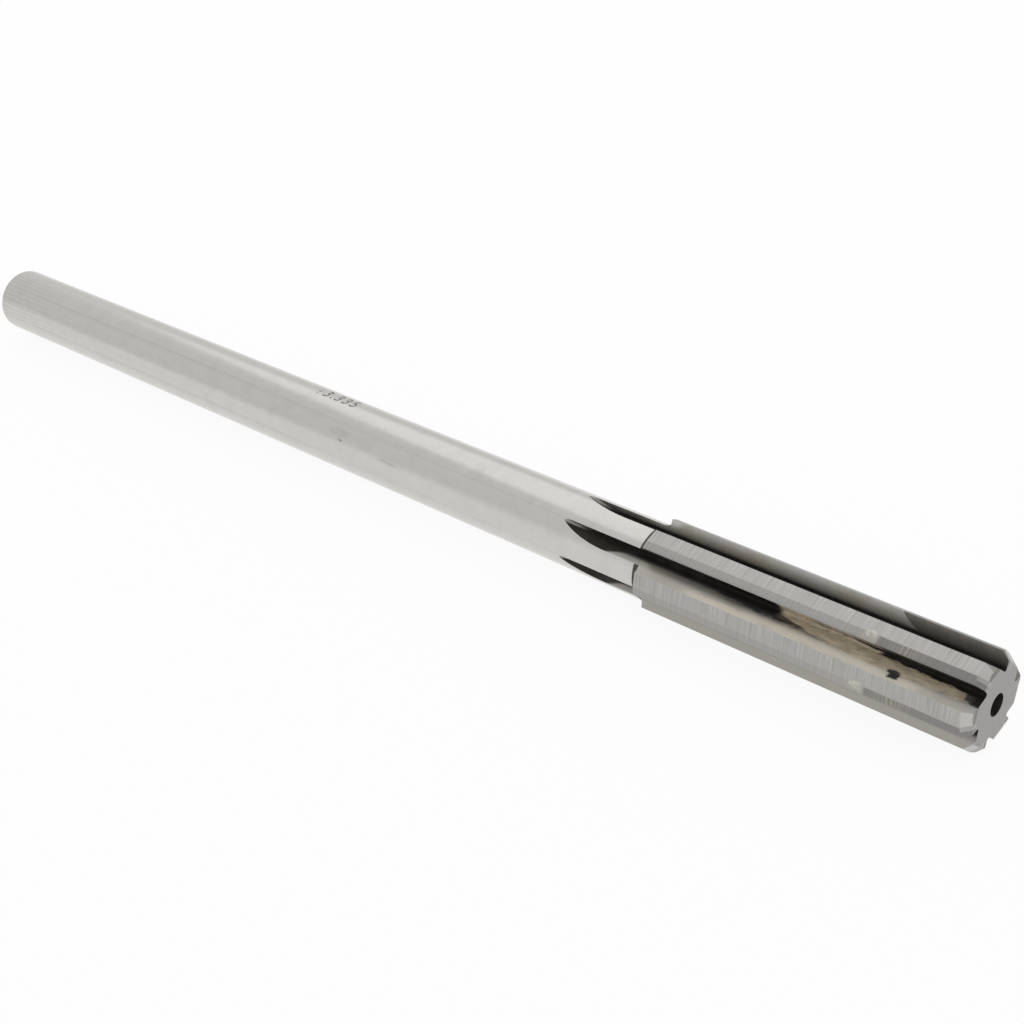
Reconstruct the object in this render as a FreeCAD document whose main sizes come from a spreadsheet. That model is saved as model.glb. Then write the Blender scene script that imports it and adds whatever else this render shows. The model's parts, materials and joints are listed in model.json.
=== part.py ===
"""Machine reamer with a straight shank, straight flutes and brazed carbide tips.

The tool lies on its side along X, as it would come to rest on a flat surface.  Its shank end is at the
origin, its cutting end points along +X, and its axis is the X axis.  It is made in the order the real
tool is made in: the steel body is turned, its tip seats are milled, the carbide tips are brazed in, and
flutes, relief and margins are then ground over steel, braze and carbide together.  The ground form is
therefore one solid here, and each seat and each tip is cut out of it.
"""

import FreeCAD, Part
import math
import os
import Sketcher

# The driving sizes, in millimetres and degrees: name, value, meaning.
SIZES = (
    ("overall_length", "203.2", "shank end to cutting end"),
    ("shank_diameter", "11.07", "straight shank, ground for a collet or drill chuck"),
    ("shank_chamfer", "0.3", "45 degree chamfer round the shank end"),
    ("head_diameter", "13.335", "cutting diameter, over the margins"),
    ("head_length", "50.8", "cutting end to the foot of the step onto the shank"),
    ("step_fillet", "0.6", "radius where the step meets the shank"),
    ("lead_chamfer", "0.95", "cutting lead along the axis, at the cutting edge"),
    ("lead_angle", "45", "lead to the axis"),
    ("lead_land", "0.7", "narrow flat behind the lead's cutting edge, square to the rake face"),
    ("lead_relief", "12", "slope of the narrow flat behind the lead's cutting edge"),
    ("lead_clearance", "20", "slope of the flat behind the narrow one"),
    ("tooth_count", "6", "teeth, evenly spaced"),
    ("core_radius", "4.4", "tool axis to the bottom of a flute"),
    ("flute_opening", "31", "angle at the axis from a cutting edge to the heel ahead of it"),
    ("flute_root", "0.35", "radius in the bottom of a flute"),
    ("flute_length", "56.5", "cutting end to the start of the flute's run-out"),
    ("flute_cutter_radius", "28.575", "grinding wheel that leaves the run-out"),
    ("margin_width", "0.29", "cylindrical margin, square to the rake face"),
    ("land_width", "1.2", "cutting edge to the back of the primary relief, square to the rake face"),
    ("primary_relief", "9.5", "primary relief below the tangent at the cutting edge"),
    ("secondary_relief", "22.5", "secondary relief below the tangent at the cutting edge"),
    ("tip_thickness", "1.19", "carbide tip, square to the rake face"),
    ("tip_floor", "4.88", "tool axis to the underside of a tip"),
    ("tip_floor_length", "10.7", "straight part of a tip's underside"),
    ("tip_end_radius", "4.76", "round back end of a tip"),
    ("braze_gap", "0.1", "braze under and behind a tip"),
    ("seat_floor_length", "11", "straight part of a seat's floor"),
    ("seat_cutter_radius", "9.525", "milling cutter that leaves the seat's back end"),
    ("grinding_stock", "0.4", "tip and braze left proud, then ground flush with the steel"),
    ("centre_mouth", "3.1", "mouth diameter of a centre hole"),
    ("centre_pilot", "1.2", "pilot diameter of a centre hole"),
    ("centre_angle", "60", "included angle of a centre hole"),
    ("pilot_length", "1.5", "straight part of a centre hole's pilot"),
    ("drill_point", "118", "included angle at the bottom of a pilot"),
)

# What follows from them: name, formula, meaning.
DERIVED = (
    ("shank_radius", "shank_diameter / 2", ""),
    ("head_radius", "head_diameter / 2", ""),
    ("pitch_angle", "360 / tooth_count", "one tooth to the next"),
    ("step_at", "overall_length - head_length + step_fillet", "face of the step"),
    ("clear_radius", "head_radius + 1", "outside everything that is ground"),
    ("margin_height", "sqrt(head_radius^2 - margin_width^2)", "back of the margin above the axis"),
    (
        "land_height",
        "margin_height - (land_width - margin_width) * tan(primary_relief)",
        "back of the primary relief above the axis",
    ),
    (
        "relief_distance",
        "land_width * sin(secondary_relief) + land_height * cos(secondary_relief)",
        "tool axis to the plane of the secondary relief",
    ),
    (
        "heel_radius",
        "relief_distance / cos(pitch_angle - secondary_relief - flute_opening)",
        "tool axis to the heel of a tooth",
    ),
    (
        "rest_angle",
        "atan((head_radius / heel_radius - cos(flute_opening)) / sin(flute_opening)) / 1 deg",
        "cutting edge to the lowest point, when the tool lies on that edge and the heel ahead of it",
    ),
    ("first_edge", "180 - rest_angle - 2 * pitch_angle", "first cutting edge, turned from straight up"),
)

BAD_STATES = ("Invalid", "Error")


def make_sheet(doc):
    """Fill the spreadsheet: driving sizes as plain numbers, then the values that follow from them."""
    sheet = doc.addObject("Spreadsheet::Sheet", "Sizes")
    formulas = tuple((name, "=" + formula, meaning) for name, formula, meaning in DERIVED)
    for row, (name, content, meaning) in enumerate(SIZES + formulas, start=1):
        sheet.set(f"A{row}", name)
        sheet.set(f"B{row}", content)
        sheet.set(f"C{row}", meaning)
        sheet.setAlias(f"B{row}", name)
    doc.recompute()
    return sheet


class Outline:
    """A sketch on one of a body's origin planes, with its sizes bound to the sheet."""

    START, END, CENTRE = range(1, 4)
    ORIGIN, HORIZONTAL_AXIS, VERTICAL_AXIS = (-1, 1), -1, -2

    def __init__(self, body, name, plane, shift="0", rise="0", tilt=""):
        """Attach an empty sketch to the origin plane with this role.

        It is shifted along the plane's normal, raised along the plane's second axis, and tilted about
        the first one.
        """
        self.sketch = body.newObject("Sketcher::SketchObject", name)
        support = [feature for feature in body.Origin.OriginFeatures if feature.Role == plane]
        self.sketch.AttachmentSupport = [(support[0], "")]
        self.sketch.MapMode = "FlatFace"
        self.sketch.setExpression("AttachmentOffset.Base.z", sized(shift))
        self.sketch.setExpression("AttachmentOffset.Base.y", sized(rise))
        if tilt:
            turn_by(self.sketch, "AttachmentOffset", tilt)

    def value(self, formula):
        """Work out a formula of sheet names."""
        return float(self.sketch.evalExpression(sized(formula)))

    def bind(self, kind, *references, formula):
        """Add a dimension of this kind and tie it to a formula of sheet names."""
        number = self.value(formula)
        if kind == "Angle":
            number = math.radians(number)
        index = self.sketch.addConstraint(Sketcher.Constraint(kind, *references, number))
        self.sketch.setExpression(f"Constraints[{index}]", sized(formula))

    def hold(self, kind, *references):
        """Add a constraint that has no size."""
        self.sketch.addConstraint(Sketcher.Constraint(kind, *references))

    def locate(self, point, x, y):
        """Tie a point, given as (geometry, end), to two formulas of sheet names."""
        for formula, kind, axis in (
            (x, "DistanceX", self.VERTICAL_AXIS),
            (y, "DistanceY", self.HORIZONTAL_AXIS),
        ):
            number = self.value(formula)
            if abs(number) < 1e-9:
                self.hold("PointOnObject", *point, axis)
            elif number > 0:
                self.bind(kind, *self.ORIGIN, *point, formula=formula)
            else:
                self.bind(kind, *point, *self.ORIGIN, formula=f"-({formula})")

    def line(self, start, end, construction=False):
        """Draw a line between two points given as pairs of numbers."""
        segment = Part.LineSegment(FreeCAD.Vector(*start, 0), FreeCAD.Vector(*end, 0))
        return self.sketch.addGeometry(segment, construction)

    def arc(self, centre, radius, start_angle, end_angle):
        """Draw an arc anticlockwise between two angles in degrees."""
        circle = Part.Circle(FreeCAD.Vector(*centre, 0), FreeCAD.Vector(0, 0, 1), radius)
        angles = (math.radians(start_angle), math.radians(end_angle))
        return self.sketch.addGeometry(Part.ArcOfCircle(circle, *angles), False)

    def point(self, x, y):
        """Draw a construction point tied to two formulas."""
        place = FreeCAD.Vector(self.value(x), self.value(y), 0)
        index = self.sketch.addGeometry(Part.Point(place), True)
        self.locate((index, self.START), x, y)
        return index

    def polygon(self, *corners):
        """Draw a closed polygon whose corners are pairs of formulas, and return its lines."""
        places = [(self.value(x), self.value(y)) for x, y in corners]
        lines = [self.line(here, there) for here, there in zip(places, places[1:] + places[:1])]
        for number, (x, y) in enumerate(corners):
            self.hold("Coincident", lines[number - 1], self.END, lines[number], self.START)
            self.locate((lines[number], self.START), x, y)
        return lines


def sized(formula):
    """Point the names in a formula at the sheet that holds them."""
    names = [name for name, _, _ in SIZES + DERIVED]
    words = []
    word = ""
    for character in formula + " ":
        if character.isalnum() or character == "_":
            word += character
            continue
        words.append(f"Sizes.{word}" if word in names else word)
        words.append(character)
        word = ""
    return "".join(words).strip()


def turn_by(item, placement, angle):
    """Turn one of an object's placements about its X axis by a formula of sheet names."""
    about_x = FreeCAD.Rotation(FreeCAD.Vector(1, 0, 0), 1)
    setattr(item, placement, FreeCAD.Placement(FreeCAD.Vector(), about_x))
    item.setExpression(f"{placement}.Rotation.Angle", sized(f"({angle}) * 1 deg"))


def add_feature(body, kind, name, outline, axis=None, **settings):
    """Add a sketch-based feature to a body and recompute it."""
    feature = body.newObject(f"PartDesign::{kind}", name)
    feature.Profile = outline.sketch
    if axis:
        feature.ReferenceAxis = (outline.sketch, [axis])
    for setting, value in settings.items():
        if isinstance(value, str) and setting in ("Length", "Angle"):
            feature.setExpression(setting, sized(value))
        else:
            setattr(feature, setting, value)
    body.Document.recompute()
    return feature


def cut_feature(body, kind, name, outline, axis=None, **settings):
    """Add a feature that removes metal, and make sure that it does."""
    before = body.Shape.Volume
    feature = add_feature(body, kind, name, outline, axis, **settings)
    if body.Shape.Volume > before - 0.01:
        raise RuntimeError(f"{name} removes nothing")
    return feature


def turn_blank(body):
    """Turn the shank, the step and the head."""
    outline = Outline(body, "blank_outline", "XZ_Plane")
    length = outline.value("overall_length")
    shank = outline.value("shank_radius")
    head = outline.value("head_radius")
    step = outline.value("step_at")
    fillet = outline.value("step_fillet")
    end_chamfer = outline.value("shank_chamfer")
    start, end = outline.START, outline.END

    axis = outline.line((length, 0), (0, 0))
    shank_end = outline.line((0, 0), (0, shank - end_chamfer))
    shank_edge = outline.line((0, shank - end_chamfer), (end_chamfer, shank))
    shank_side = outline.line((end_chamfer, shank), (step - fillet, shank))
    foot = outline.arc((step - fillet, shank + fillet), fillet, -90, 0)
    step_face = outline.line((step, shank + fillet), (step, head))
    head_side = outline.line((step, head), (length, head))
    head_end = outline.line((length, head), (length, 0))

    for before, after in (
        (axis, shank_end),
        (shank_end, shank_edge),
        (shank_edge, shank_side),
        (step_face, head_side),
        (head_side, head_end),
        (head_end, axis),
    ):
        outline.hold("Coincident", before, end, after, start)
    outline.hold("Tangent", shank_side, end, foot, start)
    outline.hold("Tangent", foot, end, step_face, start)
    outline.hold("Horizontal", shank_side)
    outline.hold("Vertical", step_face)
    outline.bind("Radius", foot, formula="step_fillet")
    outline.locate((axis, start), "overall_length", "0")
    outline.locate((shank_end, start), "0", "0")
    outline.locate((shank_edge, start), "0", "shank_radius - shank_chamfer")
    outline.locate((shank_side, start), "shank_chamfer", "shank_radius")
    outline.locate((head_side, start), "step_at", "head_radius")
    outline.locate((head_end, start), "overall_length", "head_radius")
    add_feature(body, "Revolution", "blank", outline, "H_Axis", Angle=360)


def drill_centre(body, name, face, inward):
    """Drill a centre hole: a cone that seats on a lathe centre, and a pilot with a drill point."""
    cone = "(centre_mouth - centre_pilot) / 2 / tan(centre_angle / 2)"
    point = "centre_pilot / 2 / tan(drill_point / 2)"
    outline = Outline(body, f"{name}_outline", "XZ_Plane")
    outline.polygon(
        (face, "0"),
        (face, "centre_mouth / 2"),
        (f"{face} {inward} ({cone})", "centre_pilot / 2"),
        (f"{face} {inward} ({cone} + pilot_length)", "centre_pilot / 2"),
        (f"{face} {inward} ({cone} + pilot_length + {point})", "0"),
    )
    cut_feature(body, "Groove", name, outline, "H_Axis", Angle=360)


def flute_outline(body, name, shift):
    """Draw a flute's section: radial rake face, round root, and back slope up to the heel ahead.

    The cutting edge is straight above the axis and the tooth lies on the +Y side of it.
    """
    outline = Outline(body, name, "YZ_Plane", shift)
    start, end, centre = outline.START, outline.END, outline.CENTRE
    top = outline.value("clear_radius")
    root = outline.value("flute_root")
    middle = outline.value("sqrt((core_radius + flute_root)^2 - flute_root^2)")
    heel = (
        -outline.value("heel_radius * sin(flute_opening)"),
        outline.value("heel_radius * cos(flute_opening)"),
    )
    slope = math.degrees(math.atan2(heel[1] - middle + root, heel[0] + root))
    foot = (
        -root + root * math.cos(math.radians(slope + 90)),
        middle + root * math.sin(math.radians(slope + 90)),
    )
    reach = foot[0] + (top - foot[1]) / math.tan(math.radians(slope))

    rake = outline.line((0, top), (0, middle))
    bottom = outline.arc((-root, middle), root, slope + 90 - 360, 0)
    back = outline.line(foot, (reach, top))
    lid = outline.line((reach, top), (0, top))
    heel_point = outline.point(
        "-heel_radius * sin(flute_opening)", "heel_radius * cos(flute_opening)"
    )

    outline.hold("Vertical", rake)
    outline.hold("Horizontal", lid)
    outline.hold("Tangent", rake, end, bottom, end)
    outline.hold("Tangent", bottom, start, back, start)
    outline.hold("Coincident", back, end, lid, start)
    outline.hold("Coincident", lid, end, rake, start)
    outline.hold("PointOnObject", heel_point, start, back)
    outline.locate((rake, start), "0", "clear_radius")
    outline.bind("Radius", bottom, formula="flute_root")
    outline.bind("Distance", *outline.ORIGIN, bottom, centre, formula="core_radius + flute_root")
    return outline


def grind_flute(body):
    """Grind one flute straight, then out through the shank along the rim of the grinding wheel."""
    straight = flute_outline(body, "flute_outline", "overall_length")
    flute = cut_feature(body, "Pocket", "flute", straight, Length="flute_length")

    rim = flute_outline(body, "run_out_outline", "overall_length - flute_length")
    spindle = "core_radius + flute_cutter_radius"
    height = rim.value(spindle)
    axis = rim.line((0, height), (1, height), construction=True)
    rim.locate((axis, rim.START), "0", spindle)
    rim.locate((axis, rim.END), "1", spindle)
    run_out = cut_feature(body, "Groove", "run_out", rim, "Axis0", Angle=30, Reversed=False)
    return flute, run_out


def grind_relief(body):
    """Grind the primary and secondary relief behind one margin, along the whole land."""
    outline = Outline(body, "relief_outline", "YZ_Plane", "overall_length")
    reach = "head_radius * sin(0.75 * pitch_angle)"
    outline.polygon(
        ("margin_width", "margin_height"),
        ("land_width", "land_height"),
        (reach, f"land_height - ({reach} - land_width) * tan(secondary_relief)"),
        (reach, "clear_radius"),
        ("margin_width", "clear_radius"),
    )
    return cut_feature(body, "Pocket", "relief", outline, Length="head_length")


def grind_lead(body):
    """Grind one tooth's lead: a narrow flat behind the cutting edge, and a steeper one to the heel.

    The section is drawn square to the lead's cutting edge, which lies in the rake plane.
    """
    outline = Outline(
        body, "lead_outline", "YZ_Plane", "overall_length - lead_chamfer", "head_radius", "lead_angle"
    )
    reach = "head_radius * sin(0.75 * pitch_angle)"
    shoulder = "lead_land * tan(lead_relief)"
    outline.polygon(
        ("-grinding_stock", "grinding_stock * tan(lead_relief)"),
        ("lead_land", f"-({shoulder})"),
        (reach, f"-({shoulder}) - ({reach} - lead_land) * tan(lead_clearance)"),
        (reach, "clear_radius"),
        ("-grinding_stock", "clear_radius"),
    )
    return cut_feature(body, "Pocket", "lead", outline, SideType="Symmetric", Length="2 * head_radius")


def grind_form(doc):
    """Build the whole ground form: steel, braze and carbide as one solid, turned to lie at rest."""
    body = doc.addObject("PartDesign::Body", "ground_form")
    turn_blank(body)
    drill_centre(body, "shank_centre", "0", "+")
    drill_centre(body, "tip_centre", "overall_length", "-")
    ground = [*grind_flute(body), grind_relief(body), grind_lead(body)]
    teeth = body.newObject("PartDesign::PolarPattern", "teeth")
    teeth.Originals = ground
    teeth.Axis = ([part for part in body.Origin.OriginFeatures if part.Role == "X_Axis"][0], [""])
    teeth.Angle = 360
    teeth.setExpression("Occurrences", sized("tooth_count"))
    body.Tip = teeth
    turn_by(body, "Placement", "first_edge")
    doc.recompute()
    return body




def make_insert(doc, name, tooth, floor, floor_length, end_radius, thickness):
    """Make a blank that fits one tooth: flat floor, round back end, proud of the ground form all round."""
    body = doc.addObject("PartDesign::Body", name)
    outline = Outline(body, f"{name}_outline", "XZ_Plane", "grinding_stock")
    start, end, centre = outline.START, outline.END, outline.CENTRE
    front = outline.value("overall_length + grinding_stock")
    bottom = outline.value(floor)
    back = outline.value(f"overall_length - {floor_length}")
    radius = outline.value(end_radius)
    top = outline.value("head_radius + grinding_stock")
    rise = radius + bottom - top
    swing = math.degrees(math.asin(rise / radius))
    far = back - radius * math.cos(math.radians(swing))

    floor_line = outline.line((back, bottom), (front, bottom))
    front_line = outline.line((front, bottom), (front, top))
    top_line = outline.line((front, top), (far, top))
    round_end = outline.arc((back, bottom + radius), radius, 180 + swing, 270)

    outline.hold("Tangent", round_end, end, floor_line, start)
    outline.hold("Coincident", floor_line, end, front_line, start)
    outline.hold("Coincident", front_line, end, top_line, start)
    outline.hold("Coincident", top_line, end, round_end, start)
    outline.hold("Horizontal", top_line)
    outline.locate((floor_line, start), f"overall_length - {floor_length}", floor)
    outline.locate((front_line, start), "overall_length + grinding_stock", floor)
    outline.locate((top_line, start), "overall_length + grinding_stock", "head_radius + grinding_stock")
    outline.bind("Radius", round_end, formula=end_radius)
    thick = f"{thickness} + grinding_stock"
    add_feature(body, "Pad", f"{name}_pad", outline, Length=thick, Reversed=True)
    turn_by(body, "Placement", f"first_edge + {tooth} * pitch_angle")
    return body


def boolean(doc, kind, name, base, tool):
    """Combine two objects with a Part boolean."""
    result = doc.addObject(f"Part::{kind}", name)
    result.Base = base
    result.Tool = tool
    return result


def name_part(item, node):
    """Label an object as the sub-part of this name."""
    item.Label = node
    return item


def make_tooth(doc, form, tooth):
    """Make one tooth's carbide tip and braze seam, and the seat that the body needs for them."""
    number = tooth + 1
    blank = make_insert(
        doc, f"tip_blank_{number}", tooth, "tip_floor", "tip_floor_length", "tip_end_radius", "tip_thickness"
    )
    seat = make_insert(
        doc,
        f"seat_{number}",
        tooth,
        "tip_floor - braze_gap",
        "seat_floor_length",
        "seat_cutter_radius",
        "tip_thickness + braze_gap",
    )
    tip = boolean(doc, "Common", f"ground_tip_{number}", form, blank)
    filling = boolean(doc, "Common", f"seat_filling_{number}", form, seat)
    braze = boolean(doc, "Cut", f"braze_{number}", filling, blank)
    name_part(tip, f"carbide_tip_{number}")
    name_part(braze, f"braze_seam_{number}")
    return seat, tip, braze


def make_tool(doc, sheet):
    """Make every sub-part: the steel body, and a tip and a braze seam on each tooth."""
    form = grind_form(doc)
    teeth = [make_tooth(doc, form, tooth) for tooth in range(int(sheet.tooth_count))]
    seats = doc.addObject("Part::MultiFuse", "seats")
    seats.Shapes = [seat for seat, _, _ in teeth]
    steel = name_part(boolean(doc, "Cut", "steel", form, seats), "reamer_body")
    return [steel, *(piece for _, tip, braze in teeth for piece in (tip, braze))]


def check(doc, parts):
    """Stop if anything failed to recompute or a sub-part isn't one whole solid."""
    failed = [item.Label for item in doc.Objects if any(state in BAD_STATES for state in item.State)]
    if failed:
        raise RuntimeError(f"failed: {', '.join(failed)}")
    for part in parts:
        if part.Shape.isNull() or not part.Shape.isValid() or not part.Shape.Solids:
            raise RuntimeError(f"{part.Label} has no valid shape")


def export(parts):
    """Write one STEP file for each sub-part."""
    os.makedirs("parts", exist_ok=True)
    for part in parts:
        part.Shape.exportStep(f"parts/{part.Label}.step")
        print(f"{part.Label}: {len(part.Shape.Solids)} solid, {part.Shape.Volume:.3f} mm3")


document = FreeCAD.newDocument("machine_reamer")
sizes = make_sheet(document)
tool = make_tool(document, sizes)
document.recompute()
check(document, tool)
export(tool)
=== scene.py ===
"""Looks of a machine reamer: ground steel, brazed carbide tips, brazing, size mark and studio.

The tool lies along X with its shank end at the origin and its cutting end at +X.  Finishes are worked out
from where a point lies on the tool: how far it is from the cutting end, how far from the axis, and how far
behind the cutting edge of its tooth.
"""

from __future__ import annotations

import json
import logging
import math
import random
from dataclasses import dataclass, field
from enum import Enum

import bmesh
import bpy
from mathutils import Matrix, Vector
from mathutils.bvhtree import BVHTree

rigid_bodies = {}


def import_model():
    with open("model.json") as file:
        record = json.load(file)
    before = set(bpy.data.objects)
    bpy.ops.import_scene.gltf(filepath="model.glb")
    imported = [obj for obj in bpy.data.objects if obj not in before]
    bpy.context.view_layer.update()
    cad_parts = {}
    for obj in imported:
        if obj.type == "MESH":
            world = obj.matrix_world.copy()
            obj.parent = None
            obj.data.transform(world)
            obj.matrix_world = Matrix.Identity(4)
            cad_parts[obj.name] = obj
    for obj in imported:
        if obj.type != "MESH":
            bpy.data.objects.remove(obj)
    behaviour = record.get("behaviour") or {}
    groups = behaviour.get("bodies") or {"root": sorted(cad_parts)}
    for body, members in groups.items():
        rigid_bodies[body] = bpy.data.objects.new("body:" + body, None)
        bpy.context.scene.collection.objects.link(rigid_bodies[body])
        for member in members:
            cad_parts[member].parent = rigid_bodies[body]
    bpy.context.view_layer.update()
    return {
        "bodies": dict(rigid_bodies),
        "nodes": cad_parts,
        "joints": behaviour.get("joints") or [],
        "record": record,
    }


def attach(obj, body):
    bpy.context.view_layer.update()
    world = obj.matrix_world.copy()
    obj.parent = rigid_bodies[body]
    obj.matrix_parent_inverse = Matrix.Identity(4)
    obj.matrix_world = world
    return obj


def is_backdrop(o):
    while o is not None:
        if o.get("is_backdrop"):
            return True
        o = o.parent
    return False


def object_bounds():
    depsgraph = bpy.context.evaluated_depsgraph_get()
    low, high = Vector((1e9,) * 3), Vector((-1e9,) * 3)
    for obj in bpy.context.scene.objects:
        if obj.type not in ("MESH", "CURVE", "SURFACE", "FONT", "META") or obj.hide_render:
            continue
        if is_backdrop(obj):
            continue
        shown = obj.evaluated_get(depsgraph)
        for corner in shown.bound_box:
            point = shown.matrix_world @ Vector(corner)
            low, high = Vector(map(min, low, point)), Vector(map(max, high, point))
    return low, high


LOG = logging.getLogger("reamer")
MM = 0.001
BODY = "root"

Colour = tuple[float, float, float]
Socket = bpy.types.NodeSocket
Value = "float | Colour | Socket"


class Slot(Enum):
    """The record's material slots that the added pieces belong to."""

    STEEL = "steel"
    BRAZE = "braze"


@dataclass(frozen=True)
class ToolSizes:
    """Sizes that the finishes and the added pieces are placed by, in millimetres and degrees."""

    # How far inside the cutting circle a point still counts as on the margin.
    MARGIN_SLACK = 0.002

    length: float
    shank_radius: float
    cutting_radius: float
    first_edge: float
    floor: float
    teeth: int = 6
    head_length: float = 50.2
    land_angle: float = 29.0
    land_width: float = 1.2

    @property
    def pitch(self) -> float:
        """Return the angle from one tooth to the next."""
        return 360.0 / self.teeth

    @classmethod
    def measure(cls, frame: dict) -> ToolSizes:
        """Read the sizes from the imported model.


        Returns:
            The sizes of the tool.
        """
        shank = next(m for m in frame["record"]["mounts"] if m["name"] == "shank")
        points = [v.co / MM for v in frame["nodes"]["carbide_tip_1"].data.vertices]
        cutting_radius = max(math.hypot(p.y, p.z) for p in points)
        on_margin = [p for p in points if math.hypot(p.y, p.z) > cutting_radius - cls.MARGIN_SLACK]
        first_edge = max(math.degrees(math.atan2(-p.y, p.z)) for p in on_margin)
        low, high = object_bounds()
        return cls(
            length=high[0] / MM,
            shank_radius=shank["dims"]["r_mm"],
            cutting_radius=cutting_radius,
            first_edge=first_edge,
            floor=low[2] / MM,
        )

    def point(self, from_tip: float, turn: float, radius: float) -> Vector:
        """Return a point in metres from its place on the tool.

        Args:
            from_tip: Distance from the cutting end, in millimetres.
            turn: Angle about the axis from straight up towards -Y, in degrees.
            radius: Distance from the axis, in millimetres.

        Returns:
            The point in the tool's frame.
        """
        angle = math.radians(turn)
        across = Vector((0.0, -math.sin(angle), math.cos(angle))) * radius
        return (Vector((self.length - from_tip, 0.0, 0.0)) + across) * MM


class Graph:
    """One material's nodes, written as plain expressions."""

    def __init__(self, name: str) -> None:
        """Start an empty material.

        Args:
            name: The material's name.
        """
        self.material = bpy.data.materials.new(name)
        self.material.use_nodes = True
        self.tree = self.material.node_tree
        self.shader = self.tree.nodes["Principled BSDF"]

    def node(self, kind: str, *values: Value, **settings: object) -> bpy.types.Node:
        """Add a node and feed its inputs in order.

        Args:
            kind: The node type without its "ShaderNode" prefix.
            values: Numbers, colours or sockets for the inputs, in order; None leaves one alone.
            settings: Properties of the node.

        Returns:
            The new node.
        """
        node = self.tree.nodes.new(f"ShaderNode{kind}")
        for name, setting in settings.items():
            setattr(node, name, setting)
        for socket, value in zip(node.inputs, values):
            if value is not None:
                self.feed(socket, value)
        return node

    def feed(self, socket: Socket, value: Value) -> None:
        """Link a socket to a value, or set it.

        Args:
            socket: The input.
            value: A socket, a number, or a colour.
        """
        if isinstance(value, Socket):
            self.tree.links.new(value, socket)
        elif isinstance(value, tuple) and socket.type == "RGBA":
            socket.default_value = (*value, 1.0)
        else:
            socket.default_value = value

    def math(self, operation: str, *values: Value, clamp: bool = False) -> Socket:
        """Return a sum, product or other plain operation on numbers.

        Args:
            operation: The Math node's operation.
            values: Its inputs.
            clamp: Whether the result is kept between 0 and 1.

        Returns:
            The result.
        """
        return self.node("Math", *values, operation=operation, use_clamp=clamp).outputs[0]

    def times(self, value: Value, factor: float) -> Socket:
        """Return a number multiplied by another.

        Args:
            value: The number.
            factor: What it is multiplied by.

        Returns:
            The product.
        """
        return self.math("MULTIPLY", value, factor)

    def rise(self, value: Value, low: float, high: float) -> Socket:
        """Return 0 below one number and 1 above another, with a smooth step between them.

        Args:
            value: The number to look at.
            low: Where the step starts.
            high: Where it ends; below low, the step falls.

        Returns:
            A number from 0 to 1.
        """
        node = self.node("MapRange", interpolation_type="SMOOTHSTEP")
        ends = (value, low, high, 0.0, 1.0) if low < high else (value, high, low, 1.0, 0.0)
        for name, end in zip(("Value", "From Min", "From Max", "To Min", "To Max"), ends):
            self.feed(node.inputs[name], end)
        return node.outputs["Result"]

    def step(self, value: Value, size: float, ends: tuple[float, float]) -> Socket:
        """Return a step near a size.

        Args:
            value: The number to look at.
            size: The size.
            ends: How far past the size the result is 0, and how far past it is 1.

        Returns:
            A number from 0 to 1.
        """
        return self.rise(value, size + ends[0], size + ends[1])

    def band(self, value: Value, low: float, high: float, soft: float) -> Socket:
        """Return 1 between two numbers and 0 outside them.

        Args:
            value: The number to look at.
            low: The lower end.
            high: The upper end.
            soft: Half the width of the step at each end.

        Returns:
            A number from 0 to 1.
        """
        return self.math(
            "MULTIPLY",
            self.rise(value, low - soft, low + soft),
            self.rise(value, high + soft, high - soft),
        )

    def both(self, *masks: Value) -> Socket:
        """Return the product of masks.

        Args:
            masks: Numbers from 0 to 1.

        Returns:
            Their product.
        """
        result = masks[0]
        for mask in masks[1:]:
            result = self.math("MULTIPLY", result, mask)
        return result

    def scaled(self, value: Value, low: float, high: float) -> Socket:
        """Return a number from 0 to 1 stretched between two ends.

        Args:
            value: The number from 0 to 1.
            low: What 0 becomes.
            high: What 1 becomes.

        Returns:
            The stretched number.
        """
        return self.math("MULTIPLY_ADD", value, high - low, low)

    def position(self) -> tuple[Socket, ...]:
        """Return where the shaded point lies.

        Returns:
            Its X, Y and Z in millimetres.
        """
        place = self.node("TexCoord").outputs["Object"]
        return tuple(self.times(part, 1.0 / MM) for part in self.node("SeparateXYZ", place).outputs[:3])

    def noise(self, x: Value, y: Value, z: Value, detail: float, rough: float) -> Socket:
        """Return noise at a point whose coordinates are already scaled.

        Args:
            x: First coordinate.
            y: Second coordinate.
            z: Third coordinate.
            detail: Octaves.
            rough: How strong the finer octaves are.

        Returns:
            A number around 0.5.
        """
        place = self.node("CombineXYZ", x, y, z).outputs[0]
        node = self.node("TexNoise")
        for name, value in (("Vector", place), ("Scale", 1.0), ("Detail", detail), ("Roughness", rough)):
            self.feed(node.inputs[name], value)
        return node.outputs[0]

    def mix(self, factor: Value, first: Value, second: Value, kind: str = "RGBA") -> Socket:
        """Return one colour or number mixed into another.

        Args:
            factor: How much of the second.
            first: The first colour or number.
            second: The second.
            kind: "RGBA" for colours, "FLOAT" for numbers.

        Returns:
            The mixture.
        """
        node = self.node("Mix", data_type=kind)
        start, result = (6, 2) if kind == "RGBA" else (2, 0)
        for index, value in ((0, factor), (start, first), (start + 1, second)):
            self.feed(node.inputs[index], value)
        return node.outputs[result]

    def layered(self, base: Value, *layers: tuple[Value, Value], kind: str = "RGBA") -> Socket:
        """Return a colour or number with others laid over it in turn.

        Args:
            base: The lowest one.
            layers: Each mask, with what it lays over.
            kind: "RGBA" for colours, "FLOAT" for numbers.

        Returns:
            The mixture.
        """
        for mask, layer in layers:
            base = self.mix(mask, base, layer, kind)
        return base

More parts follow.
